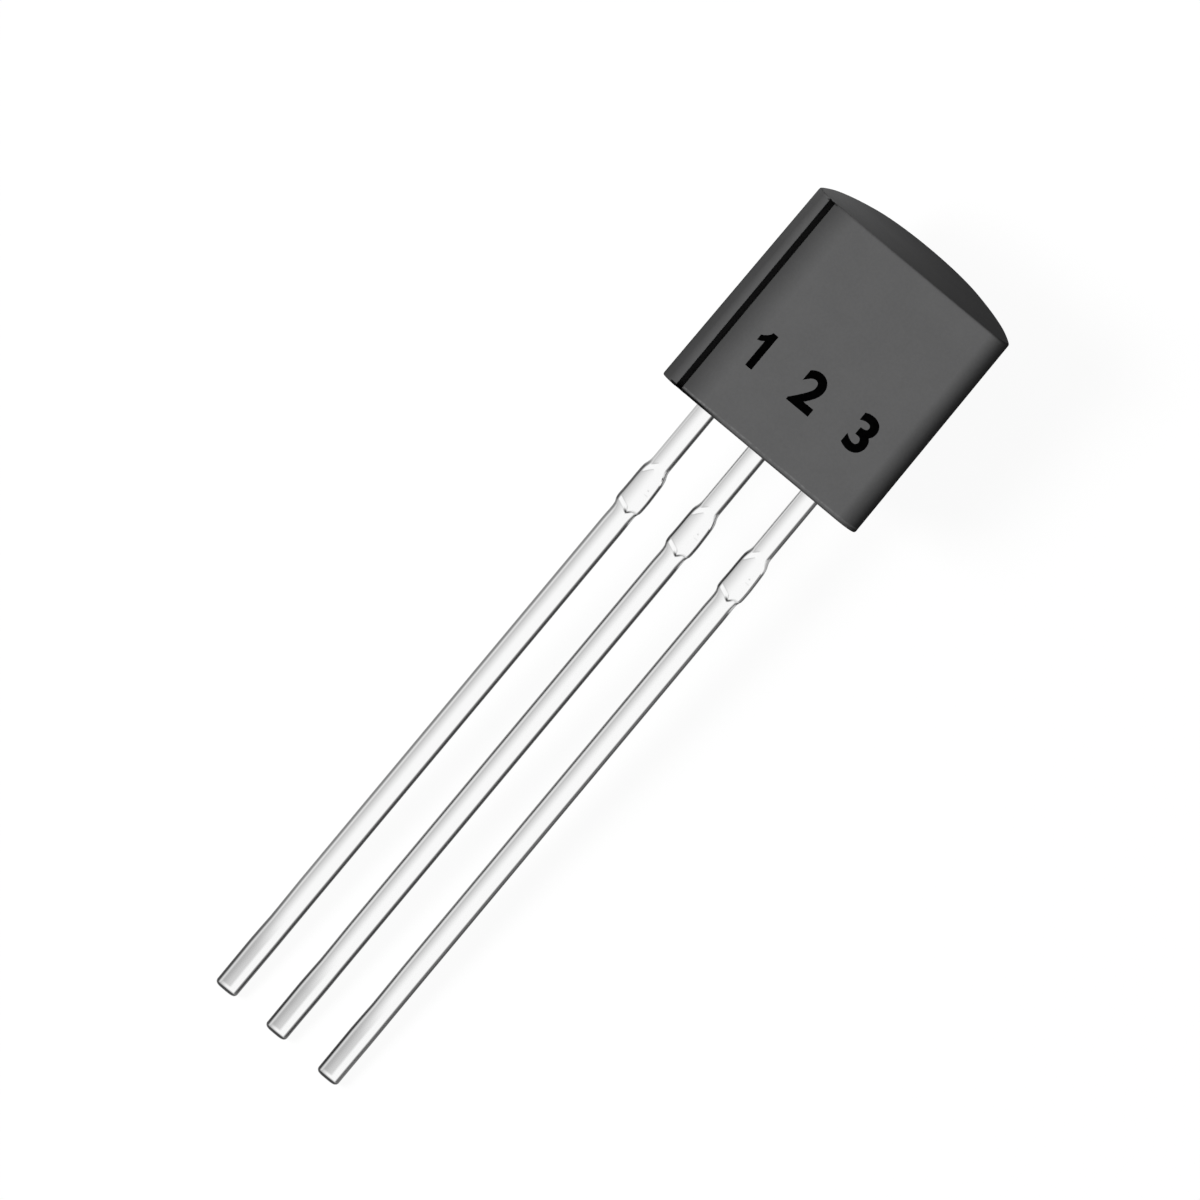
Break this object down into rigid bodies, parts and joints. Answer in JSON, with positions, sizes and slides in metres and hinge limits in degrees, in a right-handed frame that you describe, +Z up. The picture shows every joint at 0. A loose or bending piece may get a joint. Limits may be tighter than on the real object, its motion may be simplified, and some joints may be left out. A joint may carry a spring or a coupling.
{
  "type": "to-92 transistor",
  "caption": "Small-signal transistor: D-shaped moulded epoxy body with a flat face, straight tinned leads with tie-bar stubs, chip and bond wires sealed inside.",
  "frame": {"origin": "on the ground, under the middle of the part's bounding box as it lies on its rounded back with the lead tips on the ground", "axes": "+Z up, +X to the right as seen from above with the closed end of the body away from the viewer, +Y along the ground from the lead tips towards the closed end; the leads slope down at 8 degrees towards -Y"},
  "size_m": [0.0046, 0.0194, 0.0041],
  "materials": {
    "epoxy": "fine matte moulded surface, dark grey",
    "tinned_lead": "bright tin plating, smooth",
    "silicon": "polished silicon",
    "gold_wire": "bright drawn gold"
  },
  "bodies": {
    "root": {"epoxy_body": "epoxy", "emitter_lead": "tinned_lead", "collector_lead": "tinned_lead", "base_lead": "tinned_lead", "silicon_die": "silicon", "emitter_bond_wire": "gold_wire", "base_bond_wire": "gold_wire"}
  },
  "joints": []
}
